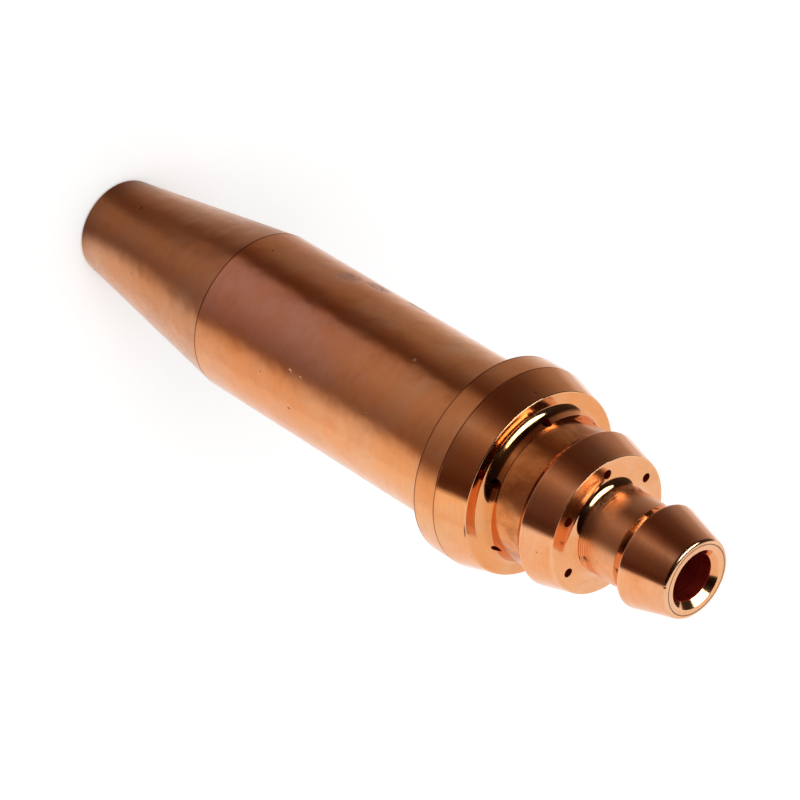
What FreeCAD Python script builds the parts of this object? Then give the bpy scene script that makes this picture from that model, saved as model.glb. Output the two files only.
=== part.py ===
import FreeCAD, Part
import os
import Sketcher

# Three-seat propane cutting nozzle: a copper body with a brass splined core in its tip.
# Millimetres and degrees. The axis is Z: the outlet end stands on Z = 0, the inlet end is on top.

DRIVING_SIZES = {
    # Oxygen bore, and the wall of the inlet neck round it
    "inlet_bore_diameter": 4.46,
    "inlet_wall": 1.87,
    "countersink_depth": 0.6,
    # Inlet neck and inlet seat
    "inlet_neck_length": 5.15,
    "inlet_step": 0.22,
    "inlet_back_taper": 0.6,
    "inlet_back_length": 1.08,
    "inlet_seat_length": 4.5,
    "inlet_edge_chamfer": 0.26,
    # Gas channels: a fine jet from the middle seat's face, then a wider mixing channel
    "channel_count": 6,
    "channel_set_in": 0.14,
    "jet_diameter": 0.88,
    "mixing_diameter": 1.5,
    # Fuel holes, drilled from the cove in front of the flange into the mixing channels
    "fuel_hole_diameter": 0.88,
    "fuel_hole_angle": 38.0,
    "fuel_mouth_angle": 70.0,
    "drill_overrun": 0.6,
    # Middle neck and middle seat
    "middle_cover": 1.47,
    "middle_neck_length": 4.7,
    "middle_step": 0.26,
    "middle_back_taper": 0.33,
    "middle_back_length": 0.52,
    "middle_seat_length": 3.15,
    "middle_cove_radius": 1.4,
    # Flange that the union nut bears on, with the third seat on its front
    "flange_step": 1.8,
    "flange_rim_length": 2.55,
    "flange_seat_length": 3.15,
    "flange_cove_width": 0.85,
    "flange_cove_radius": 1.5,
    "seat_half_angle": 15.0,
    # Barrel, tip cone and the gas chamber inside them
    "barrel_wall": 1.55,
    "barrel_length": 31.6,
    "tip_bore_diameter": 7.2,
    "tip_bore_chamfer": 0.2,
    "tip_wall": 1.15,
    "tip_length": 20.6,
    "chamber_margin": 0.19,
    "chamber_set_back": 0.7,
    "chamber_length": 18.0,
    "throat_length": 11.0,
    "socket_shoulder": 0.97,
    "socket_depth": 8.0,
    # Broken edges
    "tip_edge_chamfer": 0.3,
    "seat_edge_chamfer": 0.12,
    "fine_edge_chamfer": 0.08,
    # Splined core
    "core_recess": 1.2,
    "press_gap": 0.01,
    "flute_gap": 0.03,
    "end_gap": 0.2,
    "collar_length": 2.0,
    "collar_clearance": 0.3,
    "splined_length": 9.0,
    "waist_relief": 0.06,
    "core_edge": 0.3,
    "flute_count": 16,
    "flute_width": 0.65,
    "flute_depth": 0.6,
    "core_bore_diameter": 3.2,
    "orifice_diameter": 1.6,
    "orifice_length": 6.0,
    "orifice_taper_length": 0.5,
}

FOLLOWING_SIZES = {
    # Radii, from the oxygen bore outwards
    "inlet_bore_radius": "inlet_bore_diameter / 2",
    "inlet_neck_radius": "inlet_bore_radius + inlet_wall",
    "countersink_radius": "inlet_bore_radius + countersink_depth",
    "inlet_step_radius": "inlet_neck_radius + inlet_step",
    "inlet_edge_radius": "inlet_step_radius + inlet_back_taper",
    "inlet_end_radius": "inlet_edge_radius - inlet_seat_length * tan(seat_half_angle)",
    "middle_cove_foot": "inlet_neck_radius + middle_cove_radius",
    "channel_radius": "middle_cove_foot - channel_set_in",
    "middle_neck_radius": "channel_radius + middle_cover",
    "middle_step_radius": "middle_neck_radius + middle_step",
    "middle_edge_radius": "middle_step_radius + middle_back_taper",
    "middle_face_radius": "middle_edge_radius - middle_seat_length * tan(seat_half_angle)",
    "flange_cove_edge": "middle_neck_radius + flange_cove_width",
    "chamber_radius": "channel_radius + mixing_diameter / 2 + chamber_margin",
    "barrel_radius": "chamber_radius + barrel_wall",
    "flange_radius": "barrel_radius + flange_step",
    "flange_face_radius": "flange_radius - flange_seat_length * tan(seat_half_angle)",
    "tip_bore_radius": "tip_bore_diameter / 2",
    "tip_mouth_radius": "tip_bore_radius + tip_bore_chamfer",
    "tip_end_radius": "tip_bore_radius + tip_wall",
    "socket_radius": "inlet_bore_radius + socket_shoulder",
    # Heights, from the outlet end up
    "flange_back": "tip_length + barrel_length",
    "flange_line": "flange_back + flange_rim_length",
    "flange_face": "flange_line + flange_seat_length",
    "flange_cove_reach": "flange_cove_radius - flange_cove_width",
    "flange_cove_height": "sqrt(flange_cove_radius ^ 2 - flange_cove_reach ^ 2)",
    "flange_cove_top": "flange_face + flange_cove_height",
    "middle_back": "flange_face + middle_neck_length",
    "middle_edge": "middle_back + middle_back_length",
    "middle_face": "middle_edge + middle_seat_length",
    "middle_cove_top": "middle_face + middle_cove_radius",
    "inlet_back": "middle_face + inlet_neck_length",
    "inlet_edge": "inlet_back + inlet_back_length",
    "inlet_end": "inlet_edge + inlet_seat_length",
    "countersink_foot": "inlet_end - countersink_depth",
    "chamber_foot": "tip_length - chamber_set_back",
    "chamber_roof": "chamber_foot + chamber_length",
    "throat_foot": "chamber_foot - throat_length",
    "socket_top": "chamber_roof + socket_depth",
    # Drilled channels and fuel holes
    "channel_foot": "chamber_roof - drill_overrun",
    "channel_top": "middle_face + drill_overrun",
    "mixing_outside": "channel_radius + mixing_diameter / 2",
    "jet_outside": "channel_radius + jet_diameter / 2",
    "fuel_mouth_radius": "middle_neck_radius + flange_cove_radius * (1 - sin(fuel_mouth_angle))",
    "fuel_mouth_height": "flange_cove_top - flange_cove_radius * cos(fuel_mouth_angle)",
    "fuel_drop": "(fuel_mouth_radius - channel_radius) / tan(fuel_hole_angle)",
    "fuel_foot": "fuel_mouth_height - fuel_drop",
    "fuel_top_radius": "fuel_mouth_radius + drill_overrun * tan(fuel_hole_angle)",
    "fuel_top": "fuel_mouth_height + drill_overrun",
    "fuel_side_out": "fuel_hole_diameter / 2 * cos(fuel_hole_angle)",
    "fuel_side_down": "fuel_hole_diameter / 2 * sin(fuel_hole_angle)",
    "mixing_top": "fuel_foot + fuel_hole_diameter",
    # Splined core
    "crest_radius": "tip_bore_radius - flute_gap",
    "flute_floor": "crest_radius - flute_depth",
    "flute_outside": "crest_radius + drill_overrun",
    "waist_radius": "flute_floor - waist_relief",
    "collar_radius": "channel_radius - mixing_diameter / 2 - collar_clearance",
    "shank_radius": "socket_radius - press_gap",
    "orifice_radius": "orifice_diameter / 2",
    "core_bore_radius": "core_bore_diameter / 2",
    "crest_foot": "core_recess + core_edge",
    "land_end": "core_recess + splined_length",
    "flute_foot": "core_recess / 2",
    "flute_top": "land_end + drill_overrun",
    "collar_foot": "chamber_roof - collar_length",
    "shank_top": "socket_top - end_gap",
    "shank_edge": "shank_top - core_edge",
    "shank_end_radius": "shank_radius - core_edge",
    "core_end_radius": "crest_radius - core_edge",
    "orifice_top": "core_recess + orifice_length",
    "core_bore_foot": "orifice_top + orifice_taper_length",
}

FULL_TURN_ANGLE = 360
ORIGIN_POINT = (-1, 1)
WIDTH_AXIS_INDEX = -1
HEIGHT_AXIS_INDEX = -2
LINE_START = 1
LINE_END = 2
EDGE_MATCH = 0.001


def make_sheet(document):
    """Puts every size in the spreadsheet under its own alias."""
    sheet = document.addObject("Spreadsheet::Sheet", "Sizes")
    cells = [(alias, str(value)) for alias, value in DRIVING_SIZES.items()]
    cells += [(alias, "=" + formula) for alias, formula in FOLLOWING_SIZES.items()]
    for row, (alias, content) in enumerate(cells, start=1):
        sheet.set(f"A{row}", alias)
        sheet.set(f"B{row}", content)
        sheet.setAlias(f"B{row}", alias)
    document.recompute()
    return sheet


def size(sheet, alias):
    return float(getattr(sheet, alias))


def origin_feature(body, role):
    for feature in body.Origin.OriginFeatures:
        if feature.Role == role:
            return feature
    raise ValueError("the body has no " + role)


def hold(sketch, edge, end, aliases):
    """Holds one end of an edge at its radius and height, which are 0 or the names of sizes."""
    places = (("DistanceX", HEIGHT_AXIS_INDEX, aliases[0]), ("DistanceY", WIDTH_AXIS_INDEX, aliases[1]))
    for kind, axis, alias in places:
        if alias == "0":
            sketch.addConstraint(Sketcher.Constraint("PointOnObject", edge, end, axis))
        else:
            distance = size(sketch.Document.Sizes, alias)
            number = sketch.addConstraint(Sketcher.Constraint(kind, *ORIGIN_POINT, edge, end, distance))
            sketch.setExpression(f"Constraints[{number}]", "Sizes." + alias)


def add_cove(sketch, start, finish, alias):
    """Adds a hollow arc that turns clockwise from start to finish. It is stored the other way round."""
    radius = size(sketch.Document.Sizes, alias)
    chord = finish - start
    towards_centre = FreeCAD.Vector(chord.y, -chord.x, 0).normalize()
    reach = (radius ** 2 - (chord.Length / 2) ** 2) ** 0.5
    deepest = start + chord / 2 + towards_centre * (reach - radius)
    edge = sketch.addGeometry(Part.Arc(finish, deepest, start), False)
    number = sketch.addConstraint(Sketcher.Constraint("Radius", edge, radius))
    sketch.setExpression(f"Constraints[{number}]", "Sizes." + alias)
    return edge


def section(body, name, corners):
    """Draws a closed section on the plane through the axis. A corner is (radius, height), or
    (radius, height, cove radius) where a hollow arc leads to it."""
    sheet = body.Document.Sizes
    sketch = body.newObject("Sketcher::SketchObject", name)
    sketch.AttachmentSupport = (origin_feature(body, "XZ_Plane"), [""])
    sketch.MapMode = "FlatFace"
    spots = []
    for corner in corners:
        place = [0.0 if alias == "0" else size(sheet, alias) for alias in corner[:2]]
        spots.append(FreeCAD.Vector(place[0], place[1], 0))
    edges = []
    for index, start in enumerate(spots):
        after = (index + 1) % len(spots)
        cove_radius = corners[after][2:]
        if cove_radius:
            edge = add_cove(sketch, start, spots[after], *cove_radius)
            edges.append((edge, LINE_END, LINE_START))
        else:
            edge = sketch.addGeometry(Part.LineSegment(start, spots[after]), False)
            edges.append((edge, LINE_START, LINE_END))
    for index, (edge, first_end, _) in enumerate(edges):
        previous, _, last_end = edges[index - 1]
        sketch.addConstraint(Sketcher.Constraint("Coincident", previous, last_end, edge, first_end))
        hold(sketch, edge, first_end, corners[index])
    return sketch


def add_centre_line(sketch, first, last):
    """Adds the construction line that a slanted or offset section turns about."""
    sheet = sketch.Document.Sizes
    ends = [FreeCAD.Vector(size(sheet, corner[0]), size(sheet, corner[1]), 0) for corner in (first, last)]
    line = sketch.addGeometry(Part.LineSegment(*ends), True)
    hold(sketch, line, LINE_START, first)
    hold(sketch, line, LINE_END, last)


def turn(body, kind, name, sketch, axis=None):
    """Revolves a section about the body's axis, or about the sketch's centre line."""
    feature = body.newObject("PartDesign::" + kind, name)
    feature.Profile = sketch
    feature.ReferenceAxis = axis or (origin_feature(body, "Z_Axis"), [""])
    feature.Angle = FULL_TURN_ANGLE
    sketch.Visibility = False
    body.Document.recompute()
    return feature


def repeat_round(body, name, features, count_alias):
    pattern = body.newObject("PartDesign::PolarPattern", name)
    pattern.Originals = features
    pattern.Axis = (origin_feature(body, "Z_Axis"), [""])
    pattern.Angle = FULL_TURN_ANGLE
    pattern.setExpression("Occurrences", "Sizes." + count_alias)
    body.Tip = pattern
    body.Document.recompute()
    return pattern


def break_edges(body, name, circles, size_alias):
    """Chamfers the circular edges that have the given radii and heights."""
    sheet = body.Document.Sizes
    base = body.Tip
    names = []
    for radius_name, height_name in circles:
        radius = size(sheet, radius_name)
        height = 0.0 if height_name == "0" else size(sheet, height_name)
        for number, edge in enumerate(base.Shape.Edges, start=1):
            curve = edge.Curve
            if not isinstance(curve, Part.Circle):
                continue
            if abs(curve.Radius - radius) < EDGE_MATCH and abs(curve.Center.z - height) < EDGE_MATCH:
                names.append(f"Edge{number}")
    if len(names) < len(circles):
        raise RuntimeError(name + ": an edge is missing")
    chamfer = body.newObject("PartDesign::Chamfer", name)
    chamfer.Base = (base, names)
    chamfer.setExpression("Size", "Sizes." + size_alias)
    body.Document.recompute()


def check_removed(body, before, what):
    """A cut that points away from the solid removes nothing and shows no error."""
    if body.Shape.Volume >= before:
        raise RuntimeError(what + " removed nothing")


def make_nozzle_body(document):
    body = document.addObject("PartDesign::Body", "nozzle_body")

    outline = section(body, "turned_outline", [
        ("0", "0"),
        ("tip_end_radius", "0"),
        ("barrel_radius", "tip_length"),
        ("barrel_radius", "flange_back"),
        ("flange_radius", "flange_back"),
        ("flange_radius", "flange_line"),
        ("flange_face_radius", "flange_face"),
        ("flange_cove_edge", "flange_face"),
        ("middle_neck_radius", "flange_cove_top", "flange_cove_radius"),
        ("middle_neck_radius", "middle_back"),
        ("middle_step_radius", "middle_back"),
        ("middle_edge_radius", "middle_edge"),
        ("middle_face_radius", "middle_face"),
        ("middle_cove_foot", "middle_face"),
        ("inlet_neck_radius", "middle_cove_top", "middle_cove_radius"),
        ("inlet_neck_radius", "inlet_back"),
        ("inlet_step_radius", "inlet_back"),
        ("inlet_edge_radius", "inlet_edge"),
        ("inlet_end_radius", "inlet_end"),
        ("0", "inlet_end"),
    ])
    turn(body, "Revolution", "turned_outside", outline)

    break_edges(body, "tip_edge", [("tip_end_radius", "0")], "tip_edge_chamfer")
    break_edges(body, "inlet_edge", [("inlet_end_radius", "inlet_end")], "inlet_edge_chamfer")
    seat_edges = [("middle_edge_radius", "middle_edge"), ("inlet_edge_radius", "inlet_edge")]
    break_edges(body, "seat_edges", seat_edges, "seat_edge_chamfer")
    fine_edges = [
        ("flange_radius", "flange_back"),
        ("flange_face_radius", "flange_face"),
        ("middle_face_radius", "middle_face"),
    ]
    break_edges(body, "fine_edges", fine_edges, "fine_edge_chamfer")

    before = body.Shape.Volume
    cavity = section(body, "bored_outline", [
        ("0", "0"),
        ("tip_mouth_radius", "0"),
        ("tip_bore_radius", "tip_bore_chamfer"),
        ("tip_bore_radius", "throat_foot"),
        ("chamber_radius", "chamber_foot"),
        ("chamber_radius", "chamber_roof"),
        ("socket_radius", "chamber_roof"),
        ("socket_radius", "socket_top"),
        ("inlet_bore_radius", "socket_top"),
        ("inlet_bore_radius", "countersink_foot"),
        ("countersink_radius", "inlet_end"),
        ("0", "inlet_end"),
    ])
    turn(body, "Groove", "bored_inside", cavity)
    check_removed(body, before, "the bore")

    before = body.Shape.Volume
    channel = section(body, "channel_outline", [
        ("channel_radius", "channel_foot"),
        ("mixing_outside", "channel_foot"),
        ("mixing_outside", "mixing_top"),
        ("jet_outside", "mixing_top"),
        ("jet_outside", "channel_top"),
        ("channel_radius", "channel_top"),
    ])
    add_centre_line(channel, ("channel_radius", "channel_foot"), ("channel_radius", "channel_top"))
    gas_channel = turn(body, "Groove", "gas_channel", channel, (channel, ["Axis0"]))
    check_removed(body, before, "the gas channel")
    repeat_round(body, "gas_channels", [gas_channel], "channel_count")

    before = body.Shape.Volume
    fuel = make_fuel_section(body)
    fuel_hole = turn(body, "Groove", "fuel_hole", fuel, (fuel, ["Axis0"]))
    check_removed(body, before, "the fuel hole")
    repeat_round(body, "fuel_holes", [fuel_hole], "channel_count")
    return body


def make_fuel_section(body):
    """The half section of a slanted hole, from the mixing channel's centre line out through the cove."""
    sheet = body.Document.Sizes
    foot = FreeCAD.Vector(size(sheet, "channel_radius"), size(sheet, "fuel_foot"), 0)
    top = FreeCAD.Vector(size(sheet, "fuel_top_radius"), size(sheet, "fuel_top"), 0)
    side = FreeCAD.Vector(size(sheet, "fuel_side_out"), -size(sheet, "fuel_side_down"), 0)
    sketch = body.newObject("Sketcher::SketchObject", "fuel_outline")
    sketch.AttachmentSupport = (origin_feature(body, "XZ_Plane"), [""])
    sketch.MapMode = "FlatFace"
    corners = [foot, foot + side, top + side, top]
    edges = []
    for index, corner in enumerate(corners):
        line = Part.LineSegment(corner, corners[(index + 1) % len(corners)])
        edges.append(sketch.addGeometry(line, False))
    for index, edge in enumerate(edges):
        sketch.addConstraint(Sketcher.Constraint("Coincident", edges[index - 1], LINE_END, edge, LINE_START))
    foot_edge, side_edge, top_edge, middle_edge = edges
    hold(sketch, foot_edge, LINE_START, ("channel_radius", "fuel_foot"))
    hold(sketch, middle_edge, LINE_START, ("fuel_top_radius", "fuel_top"))
    sketch.addConstraint(Sketcher.Constraint("Perpendicular", foot_edge, middle_edge))
    sketch.addConstraint(Sketcher.Constraint("Perpendicular", top_edge, middle_edge))
    sketch.addConstraint(Sketcher.Constraint("Parallel", side_edge, middle_edge))
    number = sketch.addConstraint(Sketcher.Constraint("Distance", foot_edge, side.Length))
    sketch.setExpression(f"Constraints[{number}]", "Sizes.fuel_hole_diameter / 2")
    add_centre_line(sketch, ("channel_radius", "fuel_foot"), ("fuel_top_radius", "fuel_top"))
    return sketch


def make_splined_core(document):
    body = document.addObject("PartDesign::Body", "splined_core")

    outline = section(body, "core_outline", [
        ("0", "core_recess"),
        ("core_end_radius", "core_recess"),
        ("crest_radius", "crest_foot"),
        ("crest_radius", "land_end"),
        ("waist_radius", "land_end"),
        ("waist_radius", "collar_foot"),
        ("collar_radius", "collar_foot"),
        ("collar_radius", "chamber_roof"),
        ("shank_radius", "chamber_roof"),
        ("shank_radius", "shank_edge"),
        ("shank_end_radius", "shank_top"),
        ("0", "shank_top"),
    ])
    turn(body, "Revolution", "core_turned", outline)

    before = body.Shape.Volume
    bore = section(body, "core_bore_outline", [
        ("0", "core_recess"),
        ("orifice_radius", "core_recess"),
        ("orifice_radius", "orifice_top"),
        ("core_bore_radius", "core_bore_foot"),
        ("core_bore_radius", "shank_top"),
        ("0", "shank_top"),
    ])
    turn(body, "Groove", "core_bore", bore)
    check_removed(body, before, "the core's bore")

    before = body.Shape.Volume
    flute_section = section(body, "flute_outline", [
        ("flute_floor", "flute_foot"),
        ("flute_outside", "flute_foot"),
        ("flute_outside", "flute_top"),
        ("flute_floor", "flute_top"),
    ])
    flute = body.newObject("PartDesign::Pocket", "flute")
    flute.Profile = flute_section
    flute.SideType = "Symmetric"
    flute.setExpression("Length", "Sizes.flute_width")
    document.recompute()
    check_removed(body, before, "the flute")
    repeat_round(body, "flutes", [flute], "flute_count")
    return body


def check_document(document):
    """Recompute can leave an object failed without raising, so each one is looked at."""
    for item in document.Objects:
        if "Invalid" in item.State or "Error" in item.State:
            raise RuntimeError(item.Name + " failed")


def write_parts(bodies):
    os.makedirs("parts", exist_ok=True)
    for body in bodies:
        shape = body.Shape
        if shape.isNull() or not shape.isValid() or len(shape.Solids) != 1:
            raise RuntimeError(body.Label + " is not one valid solid")
        shape.exportStep(os.path.join("parts", body.Label + ".step"))
        print(body.Label, "volume", round(shape.Volume, 3), "top", round(shape.BoundBox.ZMax, 3))


document = FreeCAD.newDocument("propane_nozzle")
make_sheet(document)
bodies = [make_nozzle_body(document), make_splined_core(document)]
document.recompute()
check_document(document)
write_parts(bodies)
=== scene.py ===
import math
import bmesh
import bpy
from mathutils import Matrix, Vector


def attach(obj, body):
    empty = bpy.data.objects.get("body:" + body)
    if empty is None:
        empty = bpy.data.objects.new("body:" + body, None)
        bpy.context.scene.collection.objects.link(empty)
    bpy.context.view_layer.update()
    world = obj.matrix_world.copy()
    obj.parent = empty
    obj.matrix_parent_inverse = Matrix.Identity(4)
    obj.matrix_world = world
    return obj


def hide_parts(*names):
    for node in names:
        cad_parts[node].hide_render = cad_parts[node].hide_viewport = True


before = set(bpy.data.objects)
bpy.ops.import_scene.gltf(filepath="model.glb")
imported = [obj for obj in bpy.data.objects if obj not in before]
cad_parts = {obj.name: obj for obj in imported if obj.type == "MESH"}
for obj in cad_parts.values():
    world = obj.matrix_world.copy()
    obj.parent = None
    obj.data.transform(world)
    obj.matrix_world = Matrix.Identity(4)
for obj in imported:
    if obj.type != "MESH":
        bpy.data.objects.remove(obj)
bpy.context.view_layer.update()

MM = 0.001

# Camera, fitted to the outline and the turned edges in the photograph
CAMERA_PLACE = (0.218513, 0.206844, 0.275828)
CAMERA_LOOK = (-0.571803, -0.540728, -0.616972)
CAMERA_UP = (0.820087, -0.397218, -0.411918)
CAMERA_LENS = 192.49
CAMERA_SENSOR = 36.0
CAMERA_CLIP = 0.01

# Half the width of a fine line cut round the nozzle, in millimetres
LINE_HALF = 0.06


def groove(radius, height, depth):
    """Three corners of a fine line cut round a straight wall."""
    foot = (radius, height - LINE_HALF, 0.0)
    bottom = (radius - depth, height, 0.0)
    top = (radius, height + LINE_HALF, 0.0)
    return [foot, bottom, top]


# The turned outline, in millimetres: radius, height and the round on that corner
OUTSIDE = [
    (4.75, 0.0, 0.5),
    *groove(7.85, 20.6, 0.02),
    (7.85, 52.2, 0.0),
    (9.65, 52.2, 0.06),
    *groove(9.65, 54.75, 0.022),
    (8.806, 57.9, 0.12),
    (7.68, 57.9, 0.0),
    "flange cove",
    (6.83, 62.6, 0.0),
    (7.09, 62.6, 0.0),
    (7.42, 63.12, 0.14),
    (6.576, 66.27, 0.06),
    (5.5, 66.27, 0.0),
    "middle cove",
    "first ridge",
    "second ridge",
    "third ridge",
    *groove(4.1, 67.85, 0.012),
    (4.1, 71.42, 0.0),
    (4.32, 71.42, 0.0),
    (4.92, 72.5, 0.18),
    (3.714, 77.0, 0.42),
    (3.34, 77.0, 0.0),
    (3.3, 76.985, 0.0),
    (3.26, 77.0, 0.0),
    (2.83, 77.0, 0.06),
]
# Walls from here on lie inside the nozzle, down to the outlet's own edge
INSIDE = [
    (2.23, 76.4, 0.05),
    (2.23, 45.9, 0.0),
    (3.2, 45.9, 0.0),
    (3.2, 37.9, 0.0),
    (6.3, 37.9, 0.0),
    (6.3, 19.9, 0.0),
    (3.6, 8.9, 0.0),
    (3.6, 0.2, 0.05),
]
OUTLET_EDGE = [(3.8, 0.0, 0.05)]
# Hollow arcs: centre radius, centre height, radius, first and last angle in degrees
FLANGE_COVE = (8.33, 59.25, 1.5, 244.3, 180.0)
MIDDLE_COVE = (5.3, 67.77, 1.5, 270.0, 216.87)
# Low ridges left on the inlet neck: centre radius, round, half angle and heights
RIDGE_CENTRE = 4.006
RIDGE_ROUND = 0.13
RIDGE_HALF_ANGLE = 44.0
RIDGE_HEIGHTS = {"first ridge": 67.06, "second ridge": 67.29, "third ridge": 67.52}
RIDGE_STEPS = 6

# Drilled passages, in millimetres and degrees. The fuel holes have the jets' radius.
HOLE_COUNT = 6
GAS_CIRCLE = 5.36
JET_RADIUS = 0.44
MIXING_RADIUS = 0.75
MIXING_TOP = 57.75
CHAMBER_ROOF = 37.9
MIDDLE_FACE = 66.27
FUEL_MOUTH = (6.92, 58.74)
FUEL_ANGLE = 38.0
# How far a cutter runs past the end of its passage
JET_FOOT_OVERRUN = 0.2
JET_TOP_OVERRUN = 2.0
MIXING_FOOT_OVERRUN = 1.0
FUEL_MOUTH_OVERRUN = 1.5

# Steps round the axis, along a cove, along a small round and round a drilled hole
TURNED_STEPS = 240
COVE_STEPS = 14
ROUND_STEPS = 5
DRILL_STEPS = 40
# Distance from a corner to the support point beside it, in millimetres
SUPPORT = 0.05
# Edges sharper than this stay sharp, in degrees
SHARP_ANGLE = 28.0


def arc_points(centre_radius, centre_height, radius, first, last, steps):
    """Points along an arc, as radius and height, between two angles in degrees."""
    points = []
    for step in range(steps + 1):
        angle = math.radians(first + (last - first) * step / steps)
        points.append((centre_radius + radius * math.cos(angle), centre_height + radius * math.sin(angle)))
    return points


def rounded_corner(before, corner, after):
    """The points of a small tangent arc, with one support point on each side."""
    spot = Vector(corner[:2])
    behind = Vector(before[:2]) - spot
    onward = Vector(after[:2]) - spot
    back = behind.normalized()
    ahead = onward.normalized()
    back_support = min(SUPPORT, behind.length / 3)
    ahead_support = min(SUPPORT, onward.length / 3)
    half = back.angle(ahead) / 2
    radius = corner[2]
    if radius == 0.0:
        return [spot + back * back_support, spot, spot + ahead * ahead_support]
    cut = radius / math.tan(half)
    centre = spot + (back + ahead).normalized() * (radius / math.sin(half))
    start = spot + back * cut - centre
    finish = spot + ahead * cut - centre
    swing = start.angle_signed(finish)
    points = [spot + back * (cut + back_support)]
    for step in range(ROUND_STEPS + 1):
        turn = Matrix.Rotation(-swing * step / ROUND_STEPS, 2)
        points.append(centre + turn @ start)
    points.append(spot + ahead * (cut + ahead_support))
    return points


def turned_outline():
    """The points of the closed outline, and for each point whether it lies inside the nozzle."""
    arcs = {
        "flange cove": arc_points(*FLANGE_COVE, COVE_STEPS),
        "middle cove": arc_points(*MIDDLE_COVE, COVE_STEPS),
    }
    for name, height in RIDGE_HEIGHTS.items():
        ridge = (RIDGE_CENTRE, height, RIDGE_ROUND, -RIDGE_HALF_ANGLE, RIDGE_HALF_ANGLE)
        arcs[name] = arc_points(*ridge, RIDGE_STEPS)
    corners = []
    for corner in OUTSIDE:
        if isinstance(corner, str):
            first = 0 if corner in RIDGE_HEIGHTS else 1
            corners += [(radius, height, None, False) for radius, height in arcs[corner][first:]]
        else:
            corners.append((*corner, False))
    corners += [(*corner, True) for corner in INSIDE]
    corners += [(*corner, False) for corner in OUTLET_EDGE]
    points = []
    for index, corner in enumerate(corners):
        if corner[2] is None:
            points.append((Vector(corner[:2]), corner[3]))
        else:
            arc = rounded_corner(corners[index - 1], corner, corners[(index + 1) % len(corners)])
            points += [(point, corner[3]) for point in arc]
    return points


def turn_piece(name, outline, steps, materials):
    """A closed piece turned about Z. Its inside walls get the second material."""
    mesh = bpy.data.meshes.new(name)
    for material in materials:
        mesh.materials.append(material)
    shape = bmesh.new()
    rings = []
    for step in range(steps):
        angle = 2 * math.pi * step / steps
        ring = []
        for (radius, height), _ in outline:
            place = (radius * MM * math.cos(angle), radius * MM * math.sin(angle), height * MM)
            ring.append(shape.verts.new(place))
        rings.append(ring)
    for step in range(steps):
        here = rings[step]
        beyond = rings[(step + 1) % steps]
        for index in range(len(outline)):
            after = (index + 1) % len(outline)
            face = shape.faces.new((here[index], beyond[index], beyond[after], here[after]))
            face.material_index = int(outline[index][1] and outline[after][1])
    bmesh.ops.recalc_face_normals(shape, faces=shape.faces)
    shape.to_mesh(mesh)
    shape.free()
    piece = bpy.data.objects.new(name, mesh)
    bpy.context.scene.collection.objects.link(piece)
    return piece


def drill(shape, start, finish, radius):
    """Adds a closed rod between two points to a cutter."""
    axis = finish - start
    turn = axis.to_track_quat("Z", "Y").to_matrix().to_4x4()
    place = Matrix.Translation((start + finish) / 2) @ turn
    bmesh.ops.create_cone(shape, cap_ends=True, segments=DRILL_STEPS, radius1=radius, radius2=radius,
                          depth=axis.length, matrix=place)


def upright_ends(low, high):
    """The ends of a passage that runs beside the axis, at angle zero."""
    return [Vector((GAS_CIRCLE, 0, height)) * MM for height in (low, high)]


def fuel_hole_ends():
    """The ends of a fuel hole, from the middle of its mixing channel out through its mouth."""
    mouth = Vector((FUEL_MOUTH[0], 0, FUEL_MOUTH[1])) * MM
    lean = math.radians(FUEL_ANGLE)
    slope = Vector((math.sin(lean), 0, math.cos(lean)))
    reach = (FUEL_MOUTH[0] - GAS_CIRCLE) * MM / slope.x
    return [mouth - slope * reach, mouth + slope * FUEL_MOUTH_OVERRUN * MM]


def drill_holes(piece, materials):
    """Cuts the jets, the mixing channels and the fuel holes. Their walls get the second material."""
    passages = {
        "jets": (upright_ends(MIXING_TOP - JET_FOOT_OVERRUN, MIDDLE_FACE + JET_TOP_OVERRUN), JET_RADIUS),
        "mixing_channels": (upright_ends(CHAMBER_ROOF - MIXING_FOOT_OVERRUN, MIXING_TOP), MIXING_RADIUS),
        "fuel_holes": (fuel_hole_ends(), JET_RADIUS),
    }
    cutters = []
    for name, ((start, finish), radius) in passages.items():
        shape = bmesh.new()
        for hole in range(HOLE_COUNT):
            turn = Matrix.Rotation(2 * math.pi * hole / HOLE_COUNT, 4, "Z")
            drill(shape, turn @ start, turn @ finish, radius * MM)
        for face in shape.faces:
            face.material_index = 1
        mesh = bpy.data.meshes.new(name)
        for material in materials:
            mesh.materials.append(material)
        shape.to_mesh(mesh)
        shape.free()
        cutter = bpy.data.objects.new(name, mesh)
        bpy.context.scene.collection.objects.link(cutter)
        cut = piece.modifiers.new(name, "BOOLEAN")
        cut.operation = "DIFFERENCE"
        cut.solver = "EXACT"
        cut.object = cutter
        cutters.append(cutter)
    bpy.context.view_layer.update()
    result = bpy.data.meshes.new_from_object(piece.evaluated_get(bpy.context.evaluated_depsgraph_get()))
    piece.modifiers.clear()
    piece.data = result
    for cutter in cutters:
        bpy.data.objects.remove(cutter)


def finish_shading(piece):
    """Smooth faces with sharp edges kept."""
    for face in piece.data.polygons:
        face.use_smooth = True
    piece.data.set_sharp_from_angle(angle=math.radians(SHARP_ANGLE))
    weighted = piece.modifiers.new("even_shading", "WEIGHTED_NORMAL")
    weighted.keep_sharp = True


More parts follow.
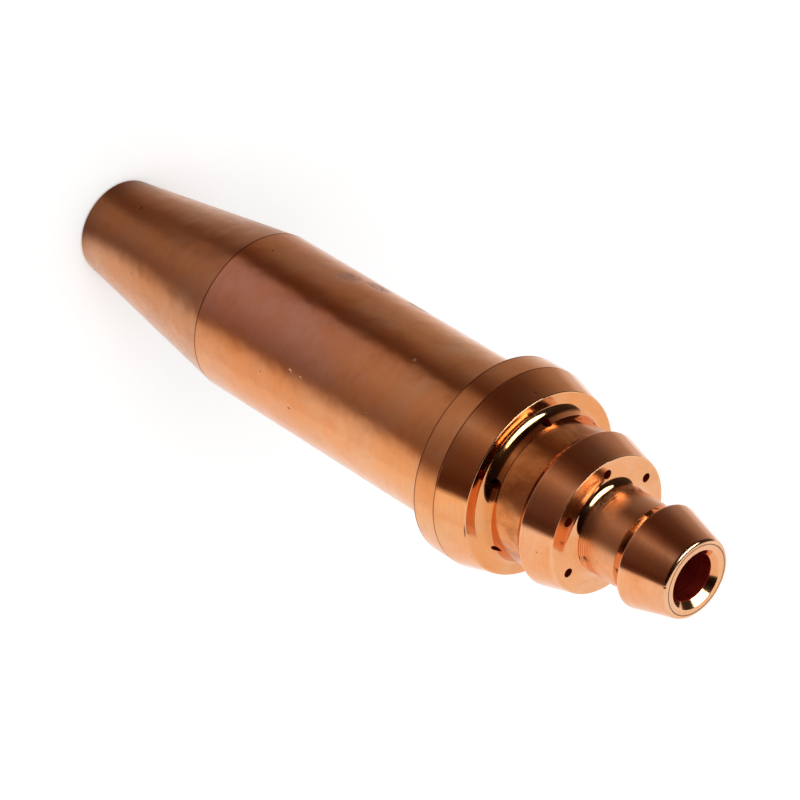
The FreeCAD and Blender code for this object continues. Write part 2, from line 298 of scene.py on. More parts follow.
class Maker:
    """Adds nodes to one node tree and links them as they come."""

    def __init__(self, tree):
        tree.nodes.clear()
        self.nodes = tree.nodes
        self.links = tree.links

    def add(self, kind, inputs=None, output=0, **settings):
        node = self.nodes.new(kind)
        for name, value in settings.items():
            setattr(node, name, value)
        for socket, value in (inputs or {}).items():
            if isinstance(value, bpy.types.NodeSocket):
                self.links.new(value, node.inputs[socket])
            else:
                node.inputs[socket].default_value = value
        return node.outputs[output] if len(node.outputs) else node

    def math(self, operation, first, second=0.0, third=0.0):
        return self.add("ShaderNodeMath", {0: first, 1: second, 2: third}, operation=operation)

    def vector(self, operation, first, second=(0.0, 0.0, 0.0), output=0):
        return self.add("ShaderNodeVectorMath", {0: first, 1: second}, output, operation=operation)

    def remap(self, value, low, high, start=0.0, end=1.0):
        spread = {"Value": value, "From Min": low, "From Max": high, "To Min": start, "To Max": end}
        return self.add("ShaderNodeMapRange", spread)

    def mix(self, factor, first, second, blend="MIX"):
        settings = {"data_type": "RGBA", "blend_type": blend}
        return self.add("ShaderNodeMix", {0: factor, 6: first, 7: second}, 2, **settings)

    def noise(self, place, scale, detail=2.0, roughness=0.5, distortion=0.0, kind="3D"):
        inputs = {"Vector" if kind == "3D" else "W": place, "Scale": scale, "Detail": detail}
        inputs.update({"Roughness": roughness, "Distortion": distortion})
        return self.add("ShaderNodeTexNoise", inputs, noise_dimensions=kind)

    def ramp(self, value, stops):
        """A colour ramp. Each stop is (value, colour or single level)."""
        first, last = stops[0][0], stops[-1][0]
        node = self.nodes.new("ShaderNodeValToRGB")
        points = node.color_ramp.elements
        while len(points) < len(stops):
            points.new(0.5)
        for point, (spot, colour) in zip(points, stops):
            point.position = (spot - first) / (last - first)
            shade = colour if isinstance(colour, tuple) else (colour, colour, colour)
            point.color = (*shade, 1.0)
        self.links.new(self.remap(value, first, last), node.inputs[0])
        return node.outputs[0]


def new_material(name):
    material = bpy.data.materials.new(name)
    material.use_nodes = True
    return material, Maker(material.node_tree)


# Base colours of the copper, from the outlet to the inlet. The outlet end and the tip are darker, a painted
# shade for the floor's shadow in their reflections.
OUTLET_EDGE_SHADED_COPPER = (0.44, 0.19, 0.085)
OUTLET_SHADED_COPPER = (0.52, 0.225, 0.1)
TIP_SHADED_COPPER = (0.63, 0.271, 0.117)
BARREL_COPPER = (0.75, 0.3, 0.116)
UPPER_COPPER = (0.815, 0.35, 0.14)
FLANGE_COPPER = (0.832, 0.345, 0.13)
NECK_COPPER = (0.74, 0.27, 0.085)
SEAT_COPPER = (0.845, 0.352, 0.145)
# The flat faces are paler, a painted sheen for their brighter reflection
FACE_SHEEN_COPPER = (0.88, 0.43, 0.205)
INLET_NECK_COPPER = (0.84, 0.345, 0.135)
INLET_COPPER = (0.848, 0.362, 0.16)

# Copper colour by height in millimetres
COPPER_ZONES = [
    # The darker colours at the outlet end and the tip are painted shade
    (0.0, OUTLET_EDGE_SHADED_COPPER), (0.8, OUTLET_SHADED_COPPER), (3.0, TIP_SHADED_COPPER), (20.5, TIP_SHADED_COPPER),
    (20.7, BARREL_COPPER), (34.0, BARREL_COPPER), (42.0, UPPER_COPPER), (52.2, UPPER_COPPER),
    (52.3, FLANGE_COPPER), (58.0, FLANGE_COPPER), (58.6, NECK_COPPER), (62.6, NECK_COPPER),
    (62.8, SEAT_COPPER), (66.1, SEAT_COPPER), (66.22, FACE_SHEEN_COPPER), (66.34, FACE_SHEEN_COPPER),
    (66.6, INLET_NECK_COPPER), (71.4, INLET_NECK_COPPER), (71.6, INLET_COPPER), (76.8, INLET_COPPER),
    (76.95, FACE_SHEEN_COPPER), (77.0, FACE_SHEEN_COPPER),
]
# How rough the turned surface is, by height
ROUGHNESS_ZONES = [
    (0.0, 0.3), (3.0, 0.25), (20.5, 0.25), (20.7, 0.2), (52.2, 0.19), (52.4, 0.17), (54.7, 0.17),
    (54.8, 0.12), (57.8, 0.12), (58.0, 0.11), (58.4, 0.07), (60.0, 0.09), (61.0, 0.2), (62.6, 0.2),
    (62.8, 0.12), (66.2, 0.13), (66.28, 0.19), (66.4, 0.06), (66.86, 0.07), (66.96, 0.26), (68.6, 0.31),
    (71.3, 0.31), (71.6, 0.13), (76.8, 0.12), (77.0, 0.15),
]
# Depth of the turning rings by height, in millimetres
RING_ZONES = [
    (0.0, 0.0005), (20.5, 0.0005), (20.7, 0.0004), (52.2, 0.0004), (54.8, 0.0005), (58.0, 0.0006),
    (60.5, 0.001), (61.0, 0.0016), (62.6, 0.0016), (62.8, 0.0004), (66.1, 0.0004), (66.3, 0.0008),
    (67.4, 0.001), (68.2, 0.0018), (71.4, 0.0018), (71.6, 0.0005), (77.0, 0.0005),
]
# Depth of the soft waves that bend the reflections, by height, in millimetres
WAVE_ZONES = [(0.0, 0.09), (20.0, 0.09), (21.0, 0.06), (51.0, 0.06), (52.5, 0.01), (77.0, 0.008)]
# Where the middle neck is rubbed, by height
RUBBED_ZONES = [(58.9, 0.0), (60.2, 1.0), (62.5, 1.0), (62.7, 0.0)]
# Fine dark lines at the tip joint, on the flange and behind it: height and half width
DARK_LINES = [(20.6, 0.08), (54.75, 0.07), (52.28, 0.1)]

# Tints that multiply the copper colour
PINKER = (0.97, 1.13, 1.42, 1.0)
DEEPER = (0.93, 0.85, 0.77, 1.0)
LIGHT_STREAK = (1.03, 1.03, 1.03, 1.0)
DULL_STREAK = (0.97, 0.96, 0.95, 1.0)
RUBBED_BROWN = (0.64, 0.55, 0.45, 1.0)
# Colours of the marks, and how far each covers the copper
WORN_COLOUR, WORN_COVER = (0.93, 0.55, 0.32, 1.0), 0.35
# The corner colour is painted shade in the inside corners
CORNER_SHADE_COLOUR, CORNER_SHADE_COVER = (0.16, 0.045, 0.018, 1.0), 0.6
LINE_COLOUR, LINE_COVER = (0.24, 0.07, 0.03, 1.0), 0.75
SPOT_COLOUR, SPOT_COVER = (0.1, 0.03, 0.015, 1.0), 0.75
# The dent colour is a painted glint
DENT_GLINT_COLOUR, DENT_GLINT_COVER = (0.93, 0.6, 0.46, 1.0), 0.25
SCUFF_COLOUR, SCUFF_COVER = (0.4, 0.12, 0.05, 1.0), 0.7
# Height of the fine relief, in millimetres. Marks that are sunk in are below zero.
GRAIN_HEIGHT = 0.0007
STREAK_HEIGHT = 0.0003
SPOT_HEIGHT = -0.02
DENT_HEIGHT = -0.06
SCUFF_HEIGHT = -0.12

# Colours inside the bores and drilled holes, kept dark as painted shade
HOLE_DARK = (0.17, 0.008, 0.004, 1.0)
HOLE_LIGHT = (0.28, 0.022, 0.012, 1.0)
HOLE_RINGS = (0.11, 0.006, 0.003, 1.0)
# Colours of the splined core
BRASS_DARK = (0.62, 0.4, 0.14, 1.0)
BRASS_LIGHT = (0.8, 0.56, 0.24, 1.0)
BRASS_BLOTCH = (0.42, 0.2, 0.07, 1.0)
# The valley colour is painted shade
BRASS_VALLEY_SHADE = (0.2, 0.1, 0.035, 1.0)
BRASS_OUTLET_DARK = (0.12, 0.07, 0.035, 1.0)

# Small dark spots: place on the surface and half sizes, in millimetres
SPOTS = [
    ((7.85, 0.09, 22.94), (0.13, 0.13, 0.16)),
    ((5.37, 1.67, 5.78), (0.24, 0.24, 0.2)),
    ((-0.4, 7.84, 33.65), (0.1, 0.12, 0.24)),
    ((-0.64, 4.05, 67.67), (0.3, 0.3, 0.22)),
    ((9.0, -0.25, 57.16), (0.16, 0.2, 0.16)),
    ((-0.7, 8.78, 57.8), (1.1, 0.12, 0.1)),
    ((1.02, 3.59, 76.8), (0.14, 0.14, 0.14)),
]
# Edges worn bright, and inside corners darkened with painted shade: radius and height, and how far each
# reaches
WORN_EDGES = [
    ((8.806, 57.9, 0.0), (0.2, 0.2, 1.0)),
    ((7.42, 63.12, 0.0), (0.25, 0.25, 1.0)),
    ((6.576, 66.27, 0.0), (0.25, 0.25, 1.0)),
    ((4.92, 72.5, 0.0), (0.25, 0.25, 1.0)),
    ((3.6, 76.9, 0.0), (0.25, 0.25, 1.0)),
    ((2.83, 77.0, 0.0), (0.14, 0.14, 1.0)),
]
# Inside corners darkened with painted shade
SHADED_CORNERS = [
    ((7.85, 52.2, 0.0), (0.3, 0.3, 1.0)),
    ((6.83, 62.6, 0.0), (0.35, 0.3, 1.0)),
    ((4.1, 71.42, 0.0), (0.3, 0.3, 1.0)),
    ((3.3, 77.0, 0.0), (0.04, 0.1, 1.0)),
]
# Small dents, sunk into the relief, with a paler colour painted on them as a glint
DENTS_AND_GLINTS = [
    ((3.11, 7.21, 33.27), (0.2, 0.2, 0.25)),
    ((3.09, 7.22, 34.66), (0.14, 0.14, 0.2)),
    ((7.51, 2.3, 44.47), (0.16, 0.16, 0.22)),
]
# Scuffed patches with a torn, darker surface
SCUFFS = [
    ((7.47, -2.42, 30.6), (1.3, 1.3, 1.3)),
    ((6.9, -3.75, 33.0), (0.9, 1.1, 1.4)),
    ((6.2, -4.8, 37.2), (0.7, 0.8, 1.6)),
]


def surface_place(maker):
    """Position in millimetres, with its distance from the axis and its height."""
    point = maker.add("ShaderNodeTexCoord", output="Object")
    place = maker.vector("MULTIPLY", point, (1000.0, 1000.0, 1000.0))
    radius = maker.vector("LENGTH", maker.vector("MULTIPLY", place, (1.0, 1.0, 0.0)), output="Value")
    height = maker.add("ShaderNodeSeparateXYZ", {0: place}, 2)
    return place, radius, height


def ring_place(maker, radius, height):
    """A value that changes both along a wall and across a flat face, for rings that run round."""
    return maker.math("MULTIPLY_ADD", radius, 1.37, height)


def streak_place(maker, place, along):
    """A position for noise that is drawn out round the axis."""
    around = maker.vector("NORMALIZE", maker.vector("MULTIPLY", place, (1.0, 1.0, 0.0)))
    lift = maker.add("ShaderNodeCombineXYZ", {2: maker.math("MULTIPLY", along, 6.0)})
    return maker.vector("ADD", maker.vector("MULTIPLY", around, (4.0, 4.0, 4.0)), lift)


def bumps(maker, relief):
    """Bumps from a relief in millimetres."""
    return maker.add("ShaderNodeBump", {"Height": relief, "Strength": 1.0, "Distance": MM})


def marks_mask(maker, place, marks):
    """One where the surface lies in any of the marks, and zero elsewhere."""
    total = None
    for centre, reach in marks:
        away = maker.vector("SUBTRACT", place, centre)
        scaled = maker.vector("DIVIDE", away, reach)
        mask = maker.remap(maker.vector("LENGTH", scaled, output="Value"), 1.0, 0.5)
        total = mask if total is None else maker.math("MAXIMUM", total, mask)
    return total


def covered(maker, mask, cover, colour, mark_colour):
    """The colour, with marks of another colour over it where the mask is one."""
    return maker.mix(maker.math("MULTIPLY", mask, cover), colour, mark_colour)


def mottled(maker, colour, place, stain, streaks):
    """Slow drift between pinker and more orange copper, soft handling stains and fine streaks."""
    drift = maker.noise(place, 0.22, 3.0, 0.55)
    pinker = maker.mix(1.0, colour, PINKER, "MULTIPLY")
    colour = maker.mix(maker.remap(drift, 0.42, 0.66), colour, pinker)
    deeper = maker.mix(1.0, colour, DEEPER, "MULTIPLY")
    colour = maker.mix(maker.remap(stain, 0.5, 0.7, 0.0, 0.7), colour, deeper)
    light = maker.mix(1.0, colour, LIGHT_STREAK, "MULTIPLY")
    dull = maker.mix(1.0, colour, DULL_STREAK, "MULTIPLY")
    return maker.mix(maker.remap(streaks, 0.35, 0.65), dull, light)


def edges_and_lines(maker, colour, radius, height, streaks):
    """Edges worn bright, painted shade in the inside corners and fine dark lines."""
    profile = maker.add("ShaderNodeCombineXYZ", {0: radius, 1: height})
    patchy = maker.remap(streaks, 0.3, 0.6, 0.35, 1.0)
    worn = maker.math("MULTIPLY", marks_mask(maker, profile, WORN_EDGES), patchy)
    colour = covered(maker, worn, WORN_COVER, colour, WORN_COLOUR)
    # Painted shade darkens the inside corners
    colour = covered(maker, marks_mask(maker, profile, SHADED_CORNERS), CORNER_SHADE_COVER, colour, CORNER_SHADE_COLOUR)
    lines = None
    for line_height, half in DARK_LINES:
        line = maker.math("COMPARE", height, line_height, half)
        lines = line if lines is None else maker.math("MAXIMUM", lines, line)
    return covered(maker, lines, LINE_COVER, colour, LINE_COLOUR)


def spots_and_pits(maker, place):
    """One in the dark spots, and a little less in small pits strewn over the surface."""
    cells = {"Vector": place, "Scale": 0.55, "Randomness": 1.0}
    pit_distance = maker.add("ShaderNodeTexVoronoi", cells, "Distance")
    pit_choice = maker.add("ShaderNodeTexVoronoi", cells, "Color")
    chosen = maker.math("GREATER_THAN", maker.add("ShaderNodeSeparateColor", {0: pit_choice}, 0), 0.8)
    pits = maker.math("MULTIPLY", maker.remap(pit_distance, 0.07, 0.03), chosen)
    return maker.math("MAXIMUM", marks_mask(maker, place, SPOTS), maker.math("MULTIPLY", pits, 0.7))


def copper_material():
    """Turned copper: colour, roughness and relief by zone, with wear, stains and small marks, and with painted
    shade and glints in some zones, corners and dents.
    """
    material, maker = new_material("turned_copper")
    place, radius, height = surface_place(maker)
    along = ring_place(maker, radius, height)
    stain = maker.noise(place, 0.45, 5.0, 0.6, 0.8)
    streaks = maker.noise(streak_place(maker, place, along), 1.0, 5.0, 0.62)
    colour = mottled(maker, maker.ramp(height, COPPER_ZONES), place, stain, streaks)

    # Brown rubbed stains on the middle neck
    rub = maker.noise(maker.vector("MULTIPLY", place, (1.0, 1.0, 0.6)), 0.8, 5.0, 0.6, 0.3)
    rubbed = maker.math("MULTIPLY", maker.remap(rub, 0.4, 0.6), maker.ramp(height, RUBBED_ZONES))
    brown = maker.mix(1.0, colour, RUBBED_BROWN, "MULTIPLY")
    colour = covered(maker, rubbed, 0.75, colour, brown)
    colour = edges_and_lines(maker, colour, radius, height, streaks)

    # Spots, dents with a painted glint, and scuffs
    spots = spots_and_pits(maker, place)
    colour = covered(maker, spots, SPOT_COVER, colour, SPOT_COLOUR)
    ragged = maker.remap(maker.noise(place, 3.2, 3.0, 0.6), 0.36, 0.54)
    dents_and_glints = maker.math("MULTIPLY", marks_mask(maker, place, DENTS_AND_GLINTS), ragged)
    # The paler dent colour is a painted glint
    colour = covered(maker, dents_and_glints, DENT_GLINT_COVER, colour, DENT_GLINT_COLOUR)
    torn = maker.noise(place, 2.8, 5.0, 0.7)
    scuffed = maker.math("MULTIPLY", marks_mask(maker, place, SCUFFS), maker.remap(torn, 0.44, 0.56))
    colour = covered(maker, scuffed, SCUFF_COVER, colour, SCUFF_COLOUR)

    roughness = maker.ramp(height, ROUGHNESS_ZONES)
    changes = [
        maker.remap(stain, 0.4, 0.7, -0.02, 0.05),
        maker.remap(streaks, 0.35, 0.65, 0.012, -0.012),
        maker.math("MULTIPLY", spots, 0.3),
        maker.math("MULTIPLY", rubbed, 0.08),
    ]
    for change in changes:
        roughness = maker.math("ADD", roughness, change)

    rings = maker.noise(along, 4.5, 3.0, 0.6, kind="1D")
    relief = maker.math("MULTIPLY", rings, maker.ramp(height, RING_ZONES))
    layers = [
        (maker.noise(place, 7.0, 4.0, 0.6), GRAIN_HEIGHT),
        (streaks, STREAK_HEIGHT),
        (maker.noise(place, 0.42, 1.0), maker.ramp(height, WAVE_ZONES)),
        (spots, SPOT_HEIGHT),
        (dents_and_glints, DENT_HEIGHT),
        (maker.math("MULTIPLY", scuffed, torn), SCUFF_HEIGHT),
    ]
    for layer, layer_height in layers:
        relief = maker.math("MULTIPLY_ADD", layer, layer_height, relief)

    turned = maker.add("ShaderNodeTangent", direction_type="RADIAL", axis="Z")
    finish = {"Base Color": colour, "Metallic": 1.0, "Roughness": roughness, "Normal": bumps(maker, relief)}
    finish.update({"Anisotropic": 0.35, "Anisotropic Rotation": 0.25, "Tangent": turned})
    metal = maker.add("ShaderNodeBsdfPrincipled", finish)
    maker.add("ShaderNodeOutputMaterial", {0: metal})
    return material


def dark_hole_material():
    """Copper inside the bores and drilled holes, dark red and dull, a painted shade for the inside of the
    holes.
    """
    material, maker = new_material("shaded_bore_copper")
    place, radius, height = surface_place(maker)
    along = ring_place(maker, radius, height)
    patches = maker.noise(place, 0.8, 4.0, 0.6)
    # The dark red colour is painted shade inside the holes
    colour = maker.mix(maker.remap(patches, 0.35, 0.65), HOLE_DARK, HOLE_LIGHT)
    rings = maker.noise(along, 3.0, 3.0, 0.6, kind="1D")
    colour = maker.mix(maker.remap(rings, 0.4, 0.7, 0.0, 0.5), colour, HOLE_RINGS)
    relief = maker.math("MULTIPLY_ADD", patches, 0.004, maker.math("MULTIPLY", rings, 0.006))
    roughness = maker.remap(patches, 0.3, 0.7, 0.42, 0.6)
    finish = {"Base Color": colour, "Metallic": 0.6, "Roughness": roughness, "Normal": bumps(maker, relief)}
    finish["Specular IOR Level"] = 0.0
    metal = maker.add("ShaderNodeBsdfPrincipled", finish)
    maker.add("ShaderNodeOutputMaterial", {0: metal})
    return material


def brass_material():
    """Milled brass of the splined core: streaks along the flutes, dull in the valleys, which are darkened with
    painted shade.
    """
    material, maker = new_material("milled_brass")
    place, radius, height = surface_place(maker)
    drawn = maker.noise(maker.vector("MULTIPLY", place, (6.0, 6.0, 0.5)), 1.0, 4.0, 0.6)
    blotch = maker.noise(place, 0.6, 4.0, 0.6)
    colour = maker.mix(maker.remap(drawn, 0.35, 0.65), BRASS_DARK, BRASS_LIGHT)
    colour = maker.mix(maker.remap(blotch, 0.5, 0.72, 0.0, 0.6), colour, BRASS_BLOTCH)
    # Painted shade darkens the valleys between the splines
    valley = maker.remap(radius, 3.95, 3.2)
    colour = covered(maker, valley, 0.65, colour, BRASS_VALLEY_SHADE)
    # Darker towards the outlet end
    near_outlet = maker.remap(height, 3.0, 1.0)
    colour = covered(maker, near_outlet, 0.35, colour, BRASS_OUTLET_DARK)
    dulled = maker.math("MULTIPLY", valley, 0.15)
    roughness = maker.math("ADD", maker.remap(drawn, 0.3, 0.7, 0.22, 0.34), dulled)
    relief = maker.math("MULTIPLY_ADD", blotch, 0.003, maker.math("MULTIPLY", drawn, 0.003))
    finish = {"Base Color": colour, "Metallic": 1.0, "Roughness": roughness, "Normal": bumps(maker, relief)}
    metal = maker.add("ShaderNodeBsdfPrincipled", finish)
    maker.add("ShaderNodeOutputMaterial", {0: metal})
    return material


nozzle_materials = (copper_material(), dark_hole_material())
body = turn_piece("copper_nozzle", turned_outline(), TURNED_STEPS, nozzle_materials)
drill_holes(body, nozzle_materials)
finish_shading(body)
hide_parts("nozzle_body")
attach(body, "root")

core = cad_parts["splined_core"]
core.data.materials.clear()
core.data.materials.append(brass_material())


# Dim surroundings that show only in reflections, in metres
SURROUND_START = 0.5 * MM
SURROUND_REACH = 0.25
SURROUND_LIFT = 0.05 * MM
SURROUND_STEPS = 48
SKY_ROWS = 24
# The sky stops just short of straight up, in degrees
SKY_TOP = 89.9
# Distances along the floor, in millimetres, over which one set of levels gives way to the next
NEAR_BLEND = (10.0, 25.0)
FAR_BLEND = (75.0, 125.0)
# Powers by which green and blue fall with the level, and on the paler side below PALE_SIDE degrees
WARM_TINT = (0.28, 0.42)
PALE_TINT = (0.19, 0.27)
PALE_SIDE = -20
# Past RED_SIDE degrees, green and blue are a little lower
RED_SIDE = 85
RED_TINT = (0.93, 0.88)
# A pink cast, with the distances in metres and the directions in degrees where it lies
PINK_CAST = (1.0, 1.08, 1.75, 1.0)
PINK_DISTANCES = [(0.02, 0.0), (0.032, 1.0), (0.045, 1.0), (0.06, 0.0)]
PINK_DIRECTIONS = [(-5.0, 0.0), (8.0, 1.0), (74.0, 1.0), (90.0, 0.0)]

# Floor: half its side and the distances over which its glow rises, in metres, and the levels
FLOOR_HALF = 3.0
FLOOR_COLOUR = (0.82, 0.82, 0.82, 1.0)
GLOW_DISTANCES = (0.3, 1.2)
GLOW_LEVELS = (0.34, 0.5)
# World: how strongly it lights the object, and how bright it is where it is seen
WORLD_LIGHT = 0.6
WORLD_SEEN = 1.0
WHITE = (1.0, 1.0, 1.0, 1.0)

# Lights, in metres: the point that they face, and each one's direction, distance, size and radiance
LIGHT_AIM = (0, 0, 0.05)
SOFTBOX_DIRECTION = (0.59, -0.2, 0.83)
SOFTBOX_DISTANCE = 0.19
SOFTBOX_SIZE = (0.19, 0.068)
SOFTBOX_RADIANCE = 7.5
SOFTBOX_LONG_AXIS = (-0.031, 0.9615, 0.272)
SOFTBOX_COLOUR = (0.72, 0.9, 1.0)
KEY_AZIMUTH = 43
KEY_ACROSS = 0.5
KEY_RISE = 0.866
KEY_DISTANCE = 0.8
KEY_SIZE = (0.5, 0.5)
KEY_RADIANCE = 3.6

# Brightness of the surroundings by direction round the nozzle's axis, in degrees from +X
NEAR_LEVELS = [
    (-90, 1.0), (-75, 0.95), (-60, 0.82), (-52, 0.65), (-44, 0.53), (-30, 0.42), (-15, 0.29), (-4, 0.2),
    (10, 0.16), (18, 0.2), (28, 0.34), (42, 0.36), (56, 0.29), (66, 0.24), (72, 0.27), (80, 0.52),
    (88, 0.84), (98, 1.0), (108, 1.0),
]
FAR_LEVELS = [
    (-105, 0.92), (-93, 0.82), (-84, 0.65), (-70, 0.48), (-55, 0.39), (-42, 0.34), (-32, 0.27), (-20, 0.17),
    (-8, 0.1), (-2, 0.14), (4, 0.34), (10, 0.43), (25, 0.47), (38, 0.45), (50, 0.4), (62, 0.34),
    (74, 0.28), (82, 0.25), (88, 0.36), (96, 0.72), (104, 0.9), (116, 1.0), (130, 1.0),
]
SKY_LEVELS = [
    (-92, 0.75), (-80, 0.44), (-70, 0.37), (-60, 0.29), (-50, 0.2), (-38, 0.12), (-20, 0.09), (-6, 0.075),
    (4, 0.1), (14, 0.19), (22, 0.34), (30, 0.45), (38, 0.34), (48, 0.22), (60, 0.15), (74, 0.12), (86, 0.08),
    (96, 0.11), (101, 1.0),
]
# How the sky darkens with height above the floor, in degrees
SKY_FADE = [(0.0, 1.0), (13.0, 1.0), (18.0, 0.6), (26.0, 0.1), (90.0, 0.06)]


def tinted(levels):
    """Dim levels turn warmer, as light that has crossed a brown room does."""
    stops = []
    for angle, level in levels:
        green, blue = PALE_TINT if angle < PALE_SIDE else WARM_TINT
        more_green, more_blue = RED_TINT if angle > RED_SIDE else (1.0, 1.0)
        shade = (level, level * level ** green * more_green, level * level ** blue * more_blue)
        stops.append((angle, shade))
    return stops


def degrees(maker, opposite, adjacent):
    """The angle of a right triangle in degrees, from its two short sides."""
    return maker.math("MULTIPLY", maker.math("ARCTAN2", opposite, adjacent), math.degrees(1))


def surround_place(maker):
    """Direction round the axis, distance from it and height, for the dim surroundings."""
    point = maker.add("ShaderNodeTexCoord", output="Object")
    split = maker.nodes.new("ShaderNodeSeparateXYZ")
    maker.links.new(point, split.inputs[0])
    across, along, height = split.outputs
    flat = maker.vector("MULTIPLY", point, (1.0, 1.0, 0.0))
    distance = maker.vector("LENGTH", flat, output="Value")
    return degrees(maker, along, across), distance, height


def low_surround_material():
    """What the nozzle mirrors from low down: bright to both sides and dim between them."""
    material, maker = new_material("low_surround")
    angle, distance, _ = surround_place(maker)
    far = maker.remap(distance, NEAR_BLEND[0] * MM, NEAR_BLEND[1] * MM)
    rim = maker.remap(distance, FAR_BLEND[0] * MM, FAR_BLEND[1] * MM)
    colour = maker.mix(far, maker.ramp(angle, tinted(NEAR_LEVELS)), maker.ramp(angle, tinted(FAR_LEVELS)))
    colour = maker.mix(rim, colour, maker.ramp(angle, tinted(SKY_LEVELS)))
    band = maker.ramp(distance, PINK_DISTANCES)
    turn = maker.ramp(angle, PINK_DIRECTIONS)
    pink = maker.mix(1.0, colour, PINK_CAST, "MULTIPLY")
    colour = maker.mix(maker.math("MULTIPLY", band, turn), colour, pink)
    glow = maker.add("ShaderNodeEmission", {0: colour})
    maker.add("ShaderNodeOutputMaterial", {0: glow})
    return material


def high_surround_material():
    """What the nozzle mirrors from higher up, fading towards the zenith."""
    material, maker = new_material("high_surround")
    angle, distance, height = surround_place(maker)
    fade = maker.ramp(degrees(maker, height, distance), SKY_FADE)
    glow = maker.add("ShaderNodeEmission", {0: maker.ramp(angle, tinted(SKY_LEVELS)), 1: fade})
    maker.add("ShaderNodeOutputMaterial", {0: glow})
    return material


def card(name, rows, material):
    """A surface through rows of points, seen only in reflections."""
    mesh = bpy.data.meshes.new(name)
    width = len(rows[0])
    points = [point for row in rows for point in row]
    faces = []
    for row in range(len(rows) - 1):
        for step in range(width - 1):
            first = row * width + step
            faces.append((first, first + 1, first + width + 1, first + width))
    mesh.from_pydata(points, [], faces)
    mesh.materials.append(material)
    piece = bpy.data.objects.new(name, mesh)
    bpy.context.scene.collection.objects.link(piece)
    piece.visible_camera = False
    piece.visible_diffuse = False
    piece.visible_shadow = False
    piece.visible_transmission = False
    piece.visible_volume_scatter = False


def surround_row(levels, distance, height):
    """A row of points round the axis, over the directions that the levels cover."""
    first, last = levels[0][0], levels[-1][0]
    points = []
    for step in range(SURROUND_STEPS + 1):
        turn = math.radians(first + (last - first) * step / SURROUND_STEPS)
        points.append((distance * math.cos(turn), distance * math.sin(turn), height))
    return points


def make_surroundings():
    reaches = (SURROUND_START, SURROUND_REACH)
    low = [surround_row(FAR_LEVELS, reach, SURROUND_LIFT) for reach in reaches]
    card("low_surround", low, low_surround_material())
    high = []
    for row in range(SKY_ROWS + 1):
        rise = math.radians(SKY_TOP * row / SKY_ROWS)
        high.append(surround_row(SKY_LEVELS, SURROUND_REACH * math.cos(rise), SURROUND_REACH * math.sin(rise)))
    card("high_surround", high, high_surround_material())


def seen_directly(maker):
    """One for camera, glossy and transmission rays."""
    rays = maker.nodes.new("ShaderNodeLightPath")
    seen = maker.math("MAXIMUM", rays.outputs["Is Camera Ray"], rays.outputs["Is Glossy Ray"])
    return maker.math("MAXIMUM", seen, rays.outputs["Is Transmission Ray"])


def floor_material():
    """Pale and matt, with a glow where it is seen. From below it is clear."""
    material, maker = new_material("pale_floor")
    matt = maker.add("ShaderNodeBsdfDiffuse", {0: FLOOR_COLOUR})
    point = maker.add("ShaderNodeTexCoord", output="Object")
    distance = maker.vector("LENGTH", point, output="Value")
    lift = maker.remap(distance, *GLOW_DISTANCES, *GLOW_LEVELS)
    level = maker.math("MULTIPLY", seen_directly(maker), lift)
    glow = maker.add("ShaderNodeEmission", {0: WHITE, 1: level})
    both = maker.add("ShaderNodeAddShader", {0: matt, 1: glow})
    clear = maker.add("ShaderNodeBsdfTransparent")
    below = maker.add("ShaderNodeNewGeometry", output="Backfacing")
    one_sided = maker.add("ShaderNodeMixShader", {0: below, 1: both, 2: clear})
    maker.add("ShaderNodeOutputMaterial", {0: one_sided})
    return material


def make_floor():
    side = FLOOR_HALF
    corners = [(-side, -side, 0), (side, -side, 0), (side, side, 0), (-side, side, 0)]
    mesh = bpy.data.meshes.new("floor")
    mesh.from_pydata(corners, [], [(0, 1, 2, 3)])
    mesh.materials.append(floor_material())
    floor = bpy.data.objects.new("floor", mesh)
    bpy.context.scene.collection.objects.link(floor)


def make_world():
    world = bpy.data.worlds.new("studio")
    bpy.context.scene.world = world
    world.use_nodes = True
    maker = Maker(world.node_tree)
    level = maker.remap(seen_directly(maker), 0.0, 1.0, WORLD_LIGHT, WORLD_SEEN)
    sky = maker.add("ShaderNodeBackground", {0: WHITE, 1: level})
    maker.add("ShaderNodeOutputWorld", {0: sky})


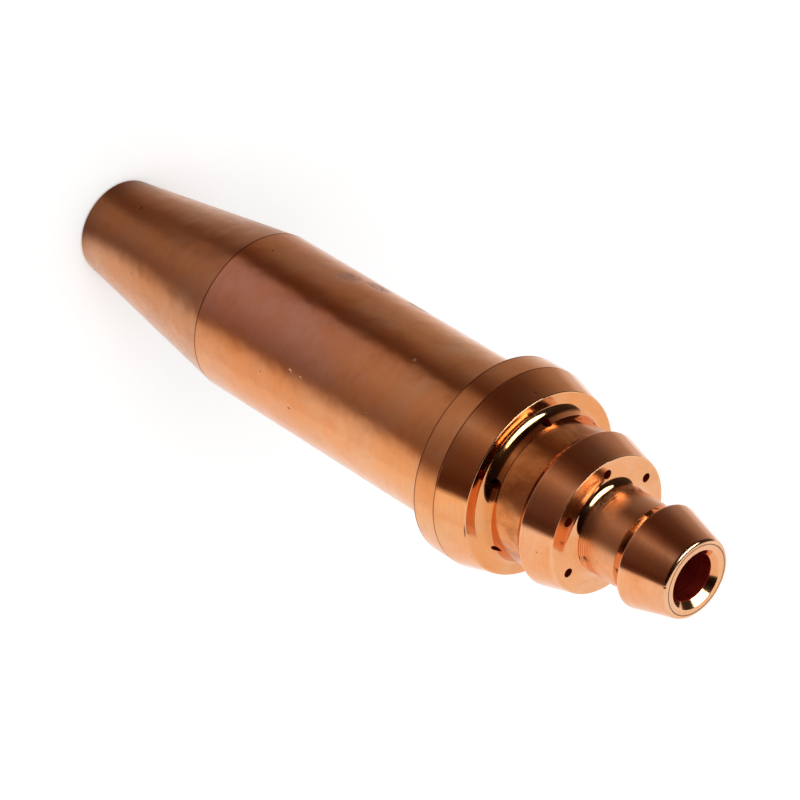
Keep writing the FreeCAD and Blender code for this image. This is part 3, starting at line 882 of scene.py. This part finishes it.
def area_light(name, direction, distance, size, radiance, shape="RECTANGLE", long_axis=None):
    """A flat light that faces the aim. Its energy comes from its size and radiance."""
    light = bpy.data.lights.new(name, "AREA")
    light.shape = shape
    light.size, light.size_y = size
    area = size[0] * size[1] * (math.pi / 4 if shape == "ELLIPSE" else 1.0)
    light.energy = radiance * area * math.pi
    lamp = bpy.data.objects.new(name, light)
    bpy.context.scene.collection.objects.link(lamp)
    place = Vector(LIGHT_AIM) + direction * distance
    back = (place - Vector(LIGHT_AIM)).normalized()
    side = Vector(long_axis) if long_axis else Vector((0, 0, 1)).cross(back)
    side = (side - back * side.dot(back)).normalized()
    top = back.cross(side)
    turn = Matrix((side, top, back)).transposed().to_4x4()
    lamp.matrix_world = Matrix.Translation(place) @ turn
    return lamp


def make_lights():
    """A softbox that is seen only in reflections, and a key light that is never seen in them."""
    box_direction = Vector(SOFTBOX_DIRECTION).normalized()
    box_shape = (SOFTBOX_SIZE, SOFTBOX_RADIANCE, "ELLIPSE", SOFTBOX_LONG_AXIS)
    box = area_light("softbox", box_direction, SOFTBOX_DISTANCE, *box_shape)
    box.data.color = SOFTBOX_COLOUR
    box.visible_diffuse = False
    turn = math.radians(KEY_AZIMUTH)
    key_direction = Vector((math.cos(turn) * KEY_ACROSS, math.sin(turn) * KEY_ACROSS, KEY_RISE))
    key = area_light("key_light", key_direction, KEY_DISTANCE, KEY_SIZE, KEY_RADIANCE)
    key.visible_glossy = False


def make_camera():
    data = bpy.data.cameras.new("camera")
    data.lens = CAMERA_LENS
    data.sensor_width = CAMERA_SENSOR
    data.clip_start = CAMERA_CLIP
    camera = bpy.data.objects.new("camera", data)
    bpy.context.scene.collection.objects.link(camera)
    look = Vector(CAMERA_LOOK).normalized()
    up = Vector(CAMERA_UP)
    up = (up - look * up.dot(look)).normalized()
    side = look.cross(up)
    turn = Matrix((side, up, -look)).transposed().to_4x4()
    camera.matrix_world = Matrix.Translation(CAMERA_PLACE) @ turn
    bpy.context.scene.camera = camera


make_floor()
make_surroundings()
make_world()
make_lights()
make_camera()
bpy.context.scene.view_settings.view_transform = "Standard"
